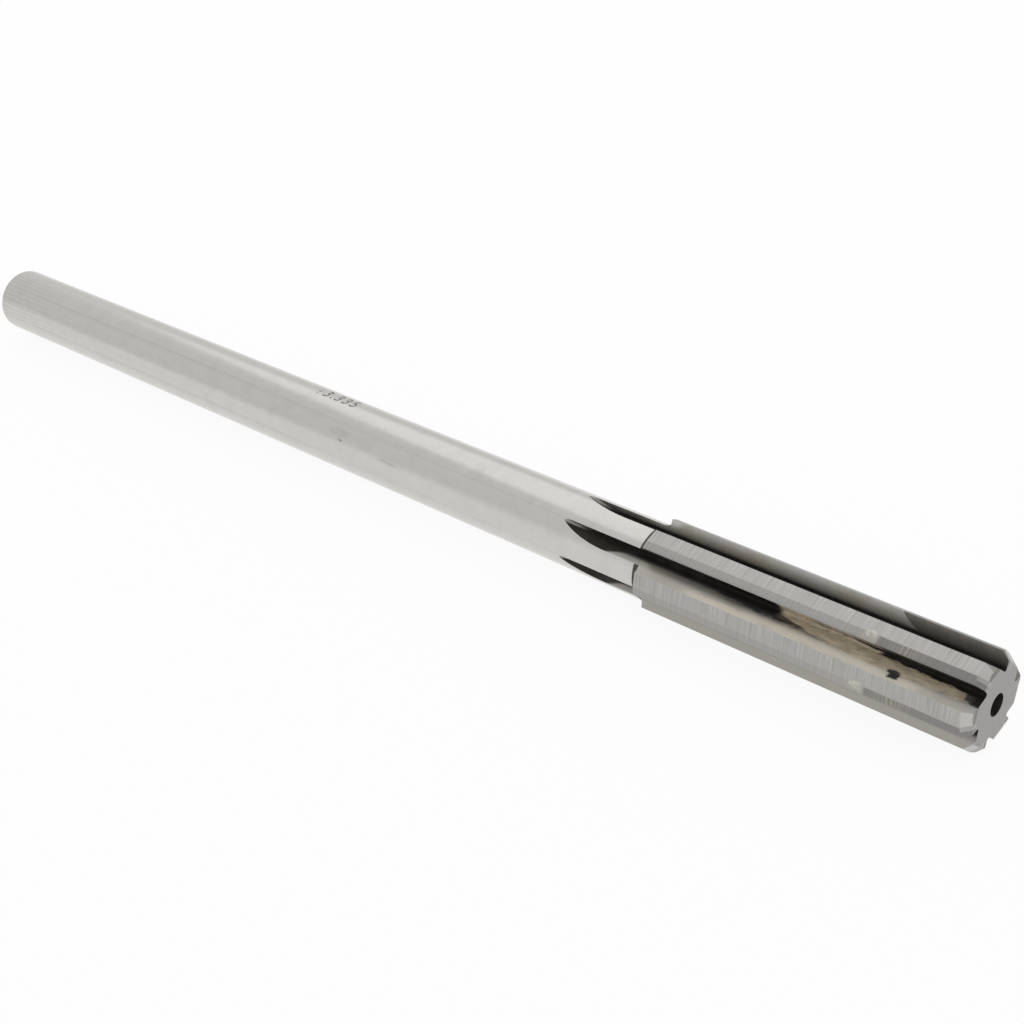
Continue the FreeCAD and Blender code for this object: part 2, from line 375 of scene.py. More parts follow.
    def finish(
        self, colour: Value, roughness: Value, height: Value, depth: float, metal: Value = 1.0
    ) -> bpy.types.Material:
        """Feed the shader of a metal.

        Args:
            colour: The metal's colour.
            roughness: Its roughness.
            height: The height of its texture, from 0 to 1.
            depth: What a height of 1 is, in metres.
            metal: 1 where it is bare metal, 0 where it is covered.

        Returns:
            The finished material.
        """
        bump = self.node("Bump")
        for name, value in (("Height", height), ("Distance", depth), ("Strength", 1.0)):
            self.feed(bump.inputs[name], value)
        self.feed(self.shader.inputs["Base Color"], colour)
        self.feed(self.shader.inputs["Roughness"], roughness)
        self.feed(self.shader.inputs["Normal"], bump.outputs[0])
        self.feed(self.shader.inputs["Metallic"], metal)
        return self.material


@dataclass(frozen=True)
class Cloud:
    """Noise that is alike in all directions: patches to a millimetre, octaves, strength of the finer ones."""

    fineness: float
    detail: float = 4.0
    rough: float = 0.6

    def noise(self, graph: Graph, position: tuple[Socket, ...]) -> Socket:
        """Return the noise at a point.

        Args:
            graph: The material.
            position: The point's X, Y and Z in millimetres.

        Returns:
            A number around 0.5.
        """
        scaled = (graph.times(part, self.fineness) for part in position)
        return graph.noise(*scaled, self.detail, self.rough)


@dataclass(frozen=True)
class Streaks:
    """Noise drawn out in one of two directions: patches to a unit of each, a place in the noise, octaves."""

    first: float
    second: float
    offset: float
    detail: float = 3.0
    rough: float = 0.6

    def noise(self, graph: Graph, first: Value, second: Value) -> Socket:
        """Return the noise at a point.

        Args:
            graph: The material.
            first: The point's first coordinate.
            second: Its second coordinate.

        Returns:
            A number around 0.5.
        """
        scaled = graph.times(first, self.first), graph.times(second, self.second)
        return graph.noise(*scaled, self.offset, self.detail, self.rough)


@dataclass(frozen=True)
class Tint:
    """A colour laid over another, by a mask or by how strong a noise is."""

    colour: Colour
    strength: float
    ends: tuple[float, float] | None = None

    def over(self, graph: Graph, base: Value, share: Value) -> Socket:
        """Lay the colour over another.

        Args:
            graph: The material.
            base: The colour under it.
            share: The mask or the noise; with ends, it is first stepped between them.

        Returns:
            The mixed colour.
        """
        stepped = graph.rise(share, *self.ends) if self.ends else share
        return graph.mix(graph.times(stepped, self.strength), base, self.colour)


GRAIN = Cloud(3.2, 3.0, 0.75)


def darker(colour: Colour, share: float) -> Colour:
    """Return a colour made darker.

    Args:
        colour: The colour.
        share: What is left of it.

    Returns:
        The darker colour.
    """
    return tuple(share * part for part in colour)


class Place:
    """Where a shaded point lies on the tool, in millimetres and degrees."""

    # How far ahead of an edge a point still counts as that tooth's, and the arc of one degree, roughly.
    AHEAD = 5.0
    ARC = 0.1
    # Where a front starts and ends, and half the width of its soft edge.
    FRONT = (-0.02, 0.02, 0.004)

    def __init__(self, graph: Graph, sizes: ToolSizes) -> None:
        """Work out the coordinates.

        Args:
            graph: The material that they are for.
            sizes: The tool's sizes.
        """
        self.position = graph.position()
        self.x, y, z = self.position
        normal = graph.node("NewGeometry").outputs["True Normal"]
        self.facing = graph.node("SeparateXYZ", normal).outputs[0]
        self.from_tip = graph.math("SUBTRACT", sizes.length, self.x)
        squares = (graph.math("MULTIPLY", part, part) for part in (y, z))
        self.radius = graph.math("SQRT", graph.math("ADD", *squares))
        self.turn = graph.math("DEGREES", graph.math("ARCTAN2", graph.times(y, -1.0), z))
        back = graph.math("SUBTRACT", sizes.first_edge, self.turn)
        self.back_angle = graph.math("WRAP", back, sizes.pitch - self.AHEAD, -self.AHEAD)
        radians = graph.math("RADIANS", self.back_angle)
        self.behind = graph.math("MULTIPLY", self.radius, graph.math("SINE", radians))
        self.up = graph.math("MULTIPLY", self.radius, graph.math("COSINE", radians))
        self.arc = graph.times(self.turn, self.ARC)

    def front(self, graph: Graph) -> Socket:
        """Return where the ground fronts of the teeth are.

        Args:
            graph: The material.

        Returns:
            A mask, 1 on the plane through a cutting edge and the axis.
        """
        return graph.band(self.behind, *self.FRONT)


@dataclass(frozen=True)
class Ragged:
    """Where a point lies once noise has pushed it about, so that the rims of stains come out ragged."""

    from_tip: Socket
    turn: Socket

    @classmethod
    def push(cls, graph: Graph, place: Place, along: float, across: float) -> Ragged:
        """Push a point about.

        Args:
            graph: The material.
            place: Where the point lies.
            along: How far it is pushed along the tool, in millimetres.
            across: How far it is turned, in degrees.

        Returns:
            The pushed point.
        """
        first = Cloud(0.9, 4.0, 0.7).noise(graph, place.position)
        second = Streaks(0.45, 0.16, 5.0, 4.0, 0.65).noise(graph, place.x, place.turn)
        return cls(
            graph.math("ADD", place.from_tip, graph.scaled(first, -along, along)),
            graph.math("ADD", place.turn, graph.scaled(second, -across, across)),
        )


@dataclass(frozen=True)
class Stain:
    """A round patch, sized in millimetres along the tool and in degrees about it."""

    # Where the rim fades out and where it is full, in half sizes of the patch.
    RIM = (1.2, 0.75)

    from_tip: float
    turn: float
    length: float
    width: float
    strength: float

    def mask(self, graph: Graph, point: Ragged) -> Socket:
        """Return where the patch is.

        Args:
            graph: The material.
            point: Where the point lies.

        Returns:
            A number from 0 to the patch's strength.
        """
        along = graph.math("DIVIDE", graph.math("SUBTRACT", point.from_tip, self.from_tip), self.length / 2)
        around = graph.math("DIVIDE", graph.math("SUBTRACT", point.turn, self.turn), self.width / 2)
        squares = (graph.math("MULTIPLY", part, part) for part in (along, around))
        distance = graph.math("SQRT", graph.math("ADD", *squares))
        return graph.times(graph.rise(distance, *self.RIM), self.strength)


@dataclass(frozen=True)
class Run:
    """A long patch along a flute, whose two sides may slant.

    The ends are distances from the cutting end.  Each side is its turn at the first end and at the second.
    """

    ends: tuple[float, float]
    root_side: tuple[float, float]
    heel_side: tuple[float, float]
    strength: float
    soft: tuple[float, float] = (0.6, 1.5)

    def mask(self, graph: Graph, point: Ragged) -> Socket:
        """Return where the patch is.

        Args:
            graph: The material.
            point: Where the point lies.

        Returns:
            A number from 0 to the patch's strength.
        """
        start, end = self.ends
        along = graph.math("SUBTRACT", point.from_tip, start)
        share = graph.math("DIVIDE", along, end - start, clamp=True)
        past_root = graph.math("SUBTRACT", point.turn, graph.scaled(share, *self.root_side))
        short_of_heel = graph.math("SUBTRACT", graph.scaled(share, *self.heel_side), point.turn)
        lengthwise, sideways = self.soft
        long_ways = graph.band(point.from_tip, start, end, lengthwise)
        sides = (graph.rise(side, -sideways, sideways) for side in (past_root, short_of_heel))
        return graph.times(graph.both(long_ways, *sides), self.strength)


@dataclass(frozen=True)
class Residue:
    """Patches of one colour, such as braze flux or painted shade, and spots of it that may lie anywhere."""

    colour: Colour
    patches: tuple[Stain | Run, ...]
    spots: tuple[Stain, ...] = ()

    def mask(self, graph: Graph, point: Ragged, within: Value) -> Socket:
        """Return where the residue is.

        Args:
            graph: The material.
            point: Where the point lies.
            within: A mask of the surface that the patches keep to.

        Returns:
            A number from 0 to 1.
        """
        result = 0.0
        for patch in self.patches:
            result = graph.math("MAXIMUM", result, patch.mask(graph, point))
        result = graph.both(result, within)
        for spot in self.spots:
            result = graph.math("MAXIMUM", result, spot.mask(graph, point))
        return result


FLUX = Residue(
    colour=(0.50, 0.42, 0.30),
    patches=(
        Run((14.0, 28.8), (44.5, 38.0), (66.0, 57.0), 0.95),
        Run((1.2, 15.0), (53.0, 48.5), (63.5, 66.5), 0.9),
        Stain(44.5, 102.1, 2.6, 12.0, 0.7),
        Stain(39.0, 102.1, 4.6, 13.0, 0.75),
        Stain(33.0, 102.1, 7.0, 12.0, 0.5),
        Stain(25.5, 102.1, 4.0, 10.0, 0.3),
        Stain(8.5, 102.1, 4.0, 10.0, 0.3),
        Run((2.0, 27.0), (168.0, 166.0), (186.0, 180.0), 0.7),
        Run((4.0, 30.0), (-133.0, -134.0), (-114.0, -118.0), 0.75),
        Run((1.0, 24.0), (-73.0, -75.0), (-55.0, -60.0), 0.7),
    ),
)
# Near black patches: painted shade in the flutes just ahead of the cutting edges, a dark patch at the cutting
# end, and small dark spots in the flutes and on the shank.
SPOTS_AND_PAINTED_SHADE = Residue(
    colour=(0.030, 0.028, 0.026),
    patches=(
        Run((-2.5, 2.0), (40.0, 40.0), (69.0, 63.0), 0.95, (0.5, 1.5)),
        Run((24.5, 29.5), (58.0, 48.0), (59.5, 60.5), 0.9, (0.6, 1.2)),
        Run((29.0, 38.0), (38.0, 38.0), (60.5, 59.0), 0.8, (0.9, 2.0)),
        Run((36.0, 47.0), (38.0, 38.0), (59.0, 53.0), 0.35, (4.0, 3.0)),
        Stain(11.2, 65.5, 1.9, 9.0, 1.0),
        Stain(22.0, 47.0, 0.7, 3.5, 0.8),
        Stain(16.8, 56.5, 0.5, 2.6, 0.7),
    ),
    spots=(
        Stain(109.3, 66.2, 0.6, 3.2, 0.85),
        Stain(99.0, 71.0, 4.5, 3.5, 0.16),
        Stain(110.0, 54.0, 5.0, 14.0, 0.08),
    ),
)
CREAM = Residue(
    colour=(0.62, 0.57, 0.46),
    patches=(
        Run((7.0, 33.0), (63.0, 63.0), (73.0, 73.0), 0.45, (2.5, 2.5)),
        Run((30.0, 42.0), (67.0, 68.0), (74.0, 74.0), 0.5, (1.5, 1.5)),
    ),
)


@dataclass(frozen=True)
class GroundRake:
    """The ground front of a tooth, with painted shade that darkens it towards the root of its flute, and
    painted shadow at the root.
    """

    # Painted shade: outer is the tone near the cutting circle, inner the darker one deeper in; root is near
    # black painted shadow.
    outer: Colour = (0.68, 0.675, 0.65)
    inner: Colour = (0.50, 0.49, 0.455)
    root: Colour = (0.028, 0.026, 0.024)
    tan: Tint = Tint((0.50, 0.45, 0.33), 0.5, (0.45, 0.7))
    tan_patches: Cloud = Cloud(0.22)
    streaks: Streaks = Streaks(2.2, 0.35, 11.0)
    streak_slant: float = 0.35
    streak_strength: float = 0.22
    wave: float = 0.12
    outer_radii: tuple[float, float] = (5.45, 6.55)
    root_shadow_radii: tuple[float, float] = (5.20, 4.80)

    def colour(self, graph: Graph, place: Place) -> Socket:
        """Return the colour of the front of a tooth.

        Args:
            graph: The material.
            place: Where the point lies.

        Returns:
            The colour.
        """
        slanted = graph.math("ADD", place.x, graph.times(place.radius, self.streak_slant))
        streaks = self.streaks.noise(graph, slanted, place.radius)
        wavy = graph.math("ADD", place.radius, graph.scaled(streaks, -self.wave, self.wave))
        # Painted shade: darker towards the axis.
        colour = graph.mix(graph.rise(wavy, *self.outer_radii), self.inner, self.outer)
        colour = self.tan.over(graph, colour, self.tan_patches.noise(graph, place.position))
        colour = graph.mix(graph.times(streaks, self.streak_strength), colour, self.root)
        # Painted shadow: near black at the flute's root.
        return graph.mix(graph.rise(place.radius, *self.root_shadow_radii), colour, self.root)


@dataclass(frozen=True)
class ZoneLimits:
    """Where the steel's zones begin: of each pair, a mask is 0 at the first number and 1 at the second.

    The numbers are in millimetres or degrees, and most are counted from a size of the tool.
    """

    shank: tuple[float, float] = (-0.012, -0.03)
    head: tuple[float, float] = (0.01, -0.01)
    heel: tuple[float, float] = (-0.05, 0.15)
    edge: tuple[float, float] = (-0.15, -0.3)
    cutting_circle: tuple[float, float] = (-0.01, -0.03)
    end_face: tuple[float, float] = (0.95, 0.99)
    land_start: float = -0.1
    land_soft: float = 0.05
    run_out_start: float = 53.3
    run_out_slope: float = 0.324
    run_out_painted_reflection: tuple[float, float] = (0.2, 1.6)
    painted_step_shadow: tuple[float, float] = (0.1, 1.05)
    painted_step_shadow_soft: float = 0.08
    painted_neck_shade: tuple[float, float] = (2.2, 0.9)
    primary: tuple[float, float] = (0.02, -0.02)
    lead_facing: tuple[float, float, float] = (0.4, 0.9, 0.05)
    lead_length: tuple[float, float] = (2.4, 2.0)


class SteelPlace(Place):
    """Where a point lies on the steel: a mask for each surface, and the noises of the finish."""

    # How a mask is turned into its opposite.
    SHARP = (0.6, 0.4)

    def __init__(self, graph: Graph, sizes: ToolSizes, limits: ZoneLimits) -> None:
        """Work out the masks, each 1 on its own surface and 0 elsewhere, and the noises.

        Args:
            graph: The material that they are for.
            sizes: The tool's sizes.
            limits: Where the surfaces begin.
        """
        super().__init__(graph, sizes)
        head = sizes.head_length
        inside = graph.step(self.radius, sizes.shank_radius, limits.shank)
        on_head = graph.step(self.from_tip, head, limits.head)
        self.end = graph.rise(graph.math("ABSOLUTE", self.facing), *limits.end_face)
        not_end = graph.rise(self.end, *self.SHARP)

        past_heel = graph.step(self.back_angle, sizes.land_angle, limits.heel)
        ahead = graph.rise(self.back_angle, *limits.edge)
        in_flute = graph.both(on_head, graph.math("MAXIMUM", past_heel, ahead))
        self.fluted = graph.both(graph.math("MAXIMUM", in_flute, inside), not_end)
        inside_circle = graph.step(self.radius, sizes.cutting_radius, limits.cutting_circle)
        self.rake = graph.both(self.front(graph), inside_circle)
        self.hollow = graph.both(graph.math("MAXIMUM", self.fluted, self.rake), not_end)

        on_land = graph.band(self.back_angle, limits.land_start, sizes.land_angle, limits.land_soft)
        self.land = graph.both(on_head, on_land, not_end)
        self.primary = graph.step(self.behind, sizes.land_width, limits.primary)
        slanting = graph.band(self.facing, *limits.lead_facing)
        self.lead = graph.both(slanting, graph.rise(self.from_tip, *limits.lead_length))

        # Painted dark reflection: the zone where the flutes run out behind the cutting part.
        across = graph.math("SUBTRACT", self.back_angle, limits.run_out_start)
        run_out_line = graph.math("MULTIPLY_ADD", across, limits.run_out_slope, self.from_tip)
        self.run_out_painted_reflection = graph.both(self.fluted, graph.step(run_out_line, head, limits.run_out_painted_reflection))
        plain = graph.rise(self.fluted, *self.SHARP)
        # Painted shadow: a dark line on the neck just behind the step.
        painted_step_shadow_ends = (head + past for past in limits.painted_step_shadow)
        self.painted_step_shadow = graph.both(graph.band(self.from_tip, *painted_step_shadow_ends, limits.painted_step_shadow_soft), plain)
        # Painted shade: the neck darkens towards the step.
        self.painted_neck_shade = graph.both(graph.step(self.from_tip, head, limits.painted_neck_shade), plain, inside)

        self.fine = Streaks(3.6, 1.3, 0.0, 3.0, 0.7).noise(graph, self.x, self.arc)
        self.cross = Streaks(3.3, 0.30, 7.0, 2.0).noise(graph, self.x, self.up)
        self.broad = Streaks(0.35, 0.5, 9.0).noise(graph, self.x, self.arc)
        self.lengthwise = Streaks(0.12, 0.9, 3.0).noise(graph, self.x, self.turn)
        self.blotch = Streaks(0.5, 0.30, 1.0, 4.0, 0.65).noise(graph, self.x, self.turn)
        self.cloud = Cloud(0.35).noise(graph, self.position)
        self.grain = GRAIN.noise(graph, self.position)


@dataclass(frozen=True)
class GroundSteel:
    """Fine ground tool steel, with painted shade and shadow in its flutes and a painted dark reflection where
    they run out.
    """

    bright: Colour = (0.605, 0.590, 0.562)
    bright_grain: Tint = Tint((0.46, 0.445, 0.42), 0.22)
    bright_patches: Tint = Tint((0.74, 0.73, 0.71), 0.12, (0.45, 0.75))
    land: Colour = (0.415, 0.410, 0.396)
    land_grain: Tint = Tint((0.30, 0.295, 0.28), 0.25)
    land_ridges: Tint = Tint((0.62, 0.61, 0.59), 0.42, (0.50, 0.72))
    land_scratches: Tint = Tint((0.25, 0.24, 0.225), 0.45, (0.46, 0.28))
    primary: Tint = Tint((0.20, 0.20, 0.19), 0.22)
    lead: Colour = (0.52, 0.515, 0.50)
    end: Colour = (0.42, 0.41, 0.40)
    end_grain: float = 0.75
    flute: Colour = (0.40, 0.38, 0.35)
    flute_streaks: float = 0.80
    # Painted shade: the flutes darken deeper in, between shade_radii.
    flute_shade: float = 0.58
    shade_radii: tuple[float, float] = (5.75, 5.05)
    # Painted shadow: near black at the flutes' root.
    root: Colour = (0.028, 0.026, 0.024)
    root_shadow_radii: tuple[float, float] = (5.05, 4.62)
    # Painted dark reflection: near black where the flutes run out behind the cutting part.
    run_out_painted_reflection: Colour = (0.042, 0.037, 0.033)
    # Painted shade: the neck darkens towards the step to the cutting part.
    painted_neck_shade: Tint = Tint((0.30, 0.29, 0.27), 0.30)
    # Painted shadow: a dark line on the neck just behind the step to the cutting part.
    painted_step_shadow: Colour = (0.07, 0.065, 0.055)
    haze: Tint = Tint((0.30, 0.28, 0.25), 0.10, (0.42, 0.75))
    crust_shade: float = 0.62
    crust_patches: tuple[float, float] = (0.38, 0.66)
    # The fronts of the teeth, with their painted shade and shadow.
    front: GroundRake = GroundRake()
    limits: ZoneLimits = ZoneLimits()
    push: tuple[float, float] = (1.3, 6.0)

    plain_roughness: tuple[float, float] = (0.17, 0.27)
    land_roughness: tuple[float, float] = (0.28, 0.44)
    flute_roughness: float = 0.34
    root_roughness: float = 0.8
    rough_radii: tuple[float, float] = (5.1, 4.8)
    run_out_roughness: float = 0.7
    end_roughness: float = 0.48
    flux_roughness: float = 0.55

    relief: float = 0.000004
    plain_relief: float = 0.25
    end_relief: float = 1.2
    flux_relief: float = 3.0
    flux_metal: float = 0.12

    def material(self, sizes: ToolSizes) -> bpy.types.Material:
        """Build the steel.

        Args:
            sizes: The tool's sizes.

        Returns:
            The material.
        """
        graph = Graph("ground_steel")
        place = SteelPlace(graph, sizes, self.limits)
        point = Ragged.push(graph, place, *self.push)
        flux = FLUX.mask(graph, point, place.hollow)
        spots_and_painted_shade = SPOTS_AND_PAINTED_SHADE.mask(graph, point, place.hollow)
        blotch = graph.rise(place.blotch, *self.crust_patches)
        crust = graph.mix(blotch, FLUX.colour, darker(FLUX.colour, self.crust_shade))
        end = graph.mix(place.grain, self.end, darker(self.end, self.end_grain))

        bright = self.bright_grain.over(graph, self.bright, place.grain)
        colour = graph.layered(
            self.bright_patches.over(graph, bright, place.broad),
            (place.land, self._land(graph, place)),
            (place.fluted, self._flank(graph, place, point)),
            (place.run_out_painted_reflection, self.run_out_painted_reflection),
            (place.rake, self.front.colour(graph, place)),
        )
        colour = self.painted_neck_shade.over(graph, colour, place.painted_neck_shade)
        colour = graph.layered(colour, (place.painted_step_shadow, self.painted_step_shadow), (place.end, end))
        colour = self.haze.over(graph, colour, place.cloud)
        colour = graph.layered(colour, (flux, crust), (spots_and_painted_shade, SPOTS_AND_PAINTED_SHADE.colour))

        height = graph.layered(
            graph.times(place.fine, self.plain_relief),
            (place.land, place.cross),
            (place.end, graph.times(place.cloud, self.end_relief)),
            (flux, graph.times(blotch, self.flux_relief)),
            kind="FLOAT",
        )
        metal = graph.scaled(flux, 1.0, self.flux_metal)
        return graph.finish(colour, self._roughness(graph, place, flux), height, self.relief, metal)

    def _land(self, graph: Graph, place: SteelPlace) -> Socket:
        """Return the colour of the lands, ground across, and of the lead.

        Args:
            graph: The material.
            place: Where the point lies.

        Returns:
            The colour.
        """
        colour = self.land_grain.over(graph, self.land, place.grain)
        colour = self.land_ridges.over(graph, colour, place.cross)
        colour = self.land_scratches.over(graph, colour, place.cross)
        colour = self.primary.over(graph, colour, place.primary)
        return graph.mix(place.lead, colour, self.lead)

    def _flank(self, graph: Graph, place: SteelPlace, point: Ragged) -> Socket:
        """Return the colour of the flutes: painted shade darkens them deeper in, painted shadow makes them
        near black at the root, and they are cream in places.

        Args:
            graph: The material.
            place: Where the point lies.
            point: The same, pushed about.

        Returns:
            The colour.
        """
        return graph.layered(
            self.flute,
            (place.lengthwise, darker(self.flute, self.flute_streaks)),
            (graph.rise(place.radius, *self.shade_radii), darker(self.flute, self.flute_shade)),
            (graph.rise(place.radius, *self.root_shadow_radii), self.root),
            (CREAM.mask(graph, point, 1.0), CREAM.colour),
        )

    def _roughness(self, graph: Graph, place: SteelPlace, flux: Socket) -> Socket:
        """Return the roughness of the steel.

        Args:
            graph: The material.
            place: Where the point lies.
            flux: Where flux lies on it.

        Returns:
            The roughness.
        """
        root = graph.both(place.fluted, graph.rise(place.radius, *self.rough_radii))
        return graph.layered(
            graph.scaled(place.fine, *self.plain_roughness),
            (place.land, graph.scaled(place.cross, *self.land_roughness)),
            (place.fluted, self.flute_roughness),
            (root, self.root_roughness),
            (place.run_out_painted_reflection, self.run_out_roughness),
            (place.end, self.end_roughness),
            (flux, self.flux_roughness),
            kind="FLOAT",
        )


@dataclass(frozen=True)
class GroundCarbide:
    """Tungsten carbide: darker and greyer than the steel, with a finer ground texture."""

    ground: Colour = (0.255, 0.250, 0.240)
    ground_grain: float = 0.72
    grain_strength: float = 0.5
    ridges: Tint = Tint((0.42, 0.41, 0.395), 0.35, (0.5, 0.72))
    tint: Tint = Tint((0.40, 0.36, 0.27), 0.75)
    tint_length: tuple[float, float, float] = (8.0, 12.6, 1.0)
    tint_ridges: tuple[float, float] = (0.46, 0.62)
    clearance: Colour = (0.38, 0.375, 0.36)
    lead_facing: tuple[float, float] = (0.3, 0.5)
    clearance_start: tuple[float, float] = (0.66, 0.74)
    # Painted shade: the front of the tip goes darker towards the axis, between rake_radii.
    rake_outer: Colour = (0.255, 0.240, 0.215)
    rake_shaded_inner: Colour = (0.185, 0.180, 0.168)
    rake_radii: tuple[float, float] = (5.7, 6.65)
    rake_patches: Tint = Tint((0.10, 0.088, 0.07), 0.35, (0.35, 0.75))
    cross: Streaks = Streaks(2.6, 0.3, 2.0, 3.0, 0.65)
    cloud: Cloud = Cloud(0.5, 3.0)
    roughness: tuple[float, float] = (0.26, 0.42)
    rake_roughness: float = 0.38
    relief: float = 0.000002

    def material(self, sizes: ToolSizes) -> bpy.types.Material:
        """Build the carbide.

        Args:
            sizes: The tool's sizes.

        Returns:
            The material.
        """
        graph = Graph("ground_carbide")
        place = Place(graph, sizes)
        cross = self.cross.noise(graph, place.x, place.up)
        grain = graph.times(GRAIN.noise(graph, place.position), self.grain_strength)
        lead = graph.rise(place.facing, *self.lead_facing)
        steep = graph.both(lead, graph.rise(place.behind, *self.clearance_start))
        by_length = graph.band(place.from_tip, *self.tint_length)
        marked = graph.both(by_length, graph.rise(cross, *self.tint_ridges))
        land = graph.mix(grain, self.ground, darker(self.ground, self.ground_grain))
        land = self.ridges.over(graph, land, cross)
        land = self.tint.over(graph, land, marked)
        # Painted shade: darker towards the axis.
        front = graph.mix(graph.rise(place.radius, *self.rake_radii), self.rake_shaded_inner, self.rake_outer)
        front = self.rake_patches.over(graph, front, self.cloud.noise(graph, place.position))
        rake = place.front(graph)
        colour = graph.layered(land, (steep, self.clearance), (rake, front))
        roughness = graph.mix(rake, graph.scaled(cross, *self.roughness), self.rake_roughness, "FLOAT")
        return graph.finish(colour, roughness, cross, self.relief)


@dataclass(frozen=True)
class SilverBraze:
    """Silver braze: ground flush in the seams, pale and uneven in the beads."""

    seam: Colour = (0.42, 0.41, 0.375)
    seam_shade: float = 0.85
    seam_cloud: Cloud = Cloud(2.0)
    seam_on_front: float = 0.30
    seam_roughness: tuple[float, float] = (0.30, 0.45)
    seam_relief: float = 0.000003
    pale: Colour = (0.54, 0.52, 0.46)
    dull: Colour = (0.42, 0.41, 0.365)
    dull_patches: tuple[float, float] = (0.35, 0.7)
    bead_cloud: Cloud = Cloud(1.6, 3.0, 0.5)
    bead_roughness: tuple[float, float] = (0.3, 0.45)
    bead_relief: float = 0.000006
    # The fronts of the teeth, with their painted shade and shadow.
    front: GroundRake = GroundRake()

    def seam_material(self, sizes: ToolSizes) -> bpy.types.Material:
        """Build the braze of the seams, ground flush with the steel.

        Args:
            sizes: The tool's sizes.

        Returns:
            The material.
        """
        graph = Graph("ground_braze")
        place = Place(graph, sizes)
        cloud = self.seam_cloud.noise(graph, place.position)
        land = graph.mix(cloud, self.seam, darker(self.seam, self.seam_shade))
        # On the fronts the seam takes most of the tooth front's colour, its painted shade and shadow
        # included.
        front = graph.mix(self.seam_on_front, self.front.colour(graph, place), self.seam)
        colour = graph.mix(place.front(graph), land, front)
        return graph.finish(colour, graph.scaled(cloud, *self.seam_roughness), cloud, self.seam_relief)

    def bead_material(self) -> bpy.types.Material:
        """Build the braze of the beads, left as it set.

        Returns:
            The material.
        """
        graph = Graph("silver_braze")
        cloud = self.bead_cloud.noise(graph, graph.position())
        colour = graph.mix(graph.rise(cloud, *self.dull_patches), self.pale, self.dull)
        return graph.finish(colour, graph.scaled(cloud, *self.bead_roughness), cloud, self.bead_relief)


@dataclass(frozen=True)
class EtchedMark:
    """Electrolytic etching: a matt grey bite in the ground steel."""

    colour: Colour = (0.24, 0.23, 0.215)
    shade: float = 0.85
    grain: Cloud = Cloud(5.0, 3.0, 0.7)
    roughness: tuple[float, float] = (0.4, 0.6)
    relief: float = 0.000003

    def material(self) -> bpy.types.Material:
        """Build the etched finish.

        Returns:
            The material.
        """
        graph = Graph("etched_steel")
        grain = self.grain.noise(graph, graph.position())
        colour = graph.mix(grain, self.colour, darker(self.colour, self.shade))
        return graph.finish(colour, graph.scaled(grain, *self.roughness), grain, self.relief)


@dataclass
class BrazeBead:
    """The ridge of braze left behind a carbide tip, on the land."""

    # How far outside the tool a ray starts.
    CLEAR = 1.0

    material: bpy.types.Material
    from_tip: float = 15.6
    length: float = 1.9
    behind: float = 1.05
    width: float = 1.35
    bow: float = 0.30
    proud: float = 0.018
    sunk: float = 0.004
    size_spread: tuple[float, float] = (0.85, 1.1)
    shift_spread: tuple[float, float] = (-0.15, 0.15)
    broad_wave: float = 0.10
    fine_wave: float = 0.05
    rows: int = 14
    columns: int = 22
    seed: int = 7

    def build(self, sizes: ToolSizes, surface: BVHTree) -> None:
        """Build the six beads as one piece.

        Args:
            sizes: The tool's sizes.
            surface: The ground tool, to lay the beads on.
        """
        chance = random.Random(self.seed)
        mesh = bmesh.new()
        for tooth in range(sizes.teeth):
            edge = sizes.first_edge + tooth * sizes.pitch
            self._lay(mesh, sizes, surface, edge, chance)
        _add_piece("braze_beads", mesh, self.material, Slot.BRAZE)

    def _lay(
        self, mesh: bmesh.types.BMesh, sizes: ToolSizes, surface: BVHTree, edge: float, chance: random.Random
    ) -> None:
        """Lay one bead behind the tip whose cutting edge is at an angle.

        Args:
            mesh: The mesh to add to.
            sizes: The tool's sizes.
            surface: The ground tool.
            edge: The cutting edge's angle about the axis.
            chance: The source of small differences between the beads.
        """
        size = chance.uniform(*self.size_spread)
        shift = chance.uniform(*self.shift_spread)
        rings: list[list[bmesh.types.BMVert]] = []
        for row in range(self.rows + 1):
            reach = row / self.rows
            height = self.proud * (1 - reach**2) - self.sunk * reach
            ring = []
            for column in range(self.columns):
                angle = 2 * math.pi * column / self.columns
                ragged = 1 + self.broad_wave * math.sin(3 * angle + edge)
                ragged += self.fine_wave * math.sin(7 * angle + 2 * edge)
                out = size * ragged * reach
                across = self.behind + out * self.width / 2 * math.sin(angle)
                along = out * self.length / 2 * math.cos(angle)
                bend = self.bow * ((across - self.behind) / (self.width / 2)) ** 2
                from_tip = self.from_tip + shift + along - bend
                turn = edge - math.degrees(across / sizes.cutting_radius)
                start = sizes.point(from_tip, turn, sizes.cutting_radius + self.CLEAR)
                inward = sizes.point(from_tip, turn, 0.0) - start
                hit, normal, _, _ = surface.ray_cast(start, inward.normalized())
                ring.append(mesh.verts.new(hit + normal * height * MM))
            rings.append(ring)
        for inner, outer in zip(rings[1:], rings[2:]):
            for column in range(self.columns):
                after = (column + 1) % self.columns
                mesh.faces.new((inner[column], outer[column], outer[after], inner[after]))
        mesh.faces.new(rings[1])
        for vertex in rings[0]:
            mesh.verts.remove(vertex)


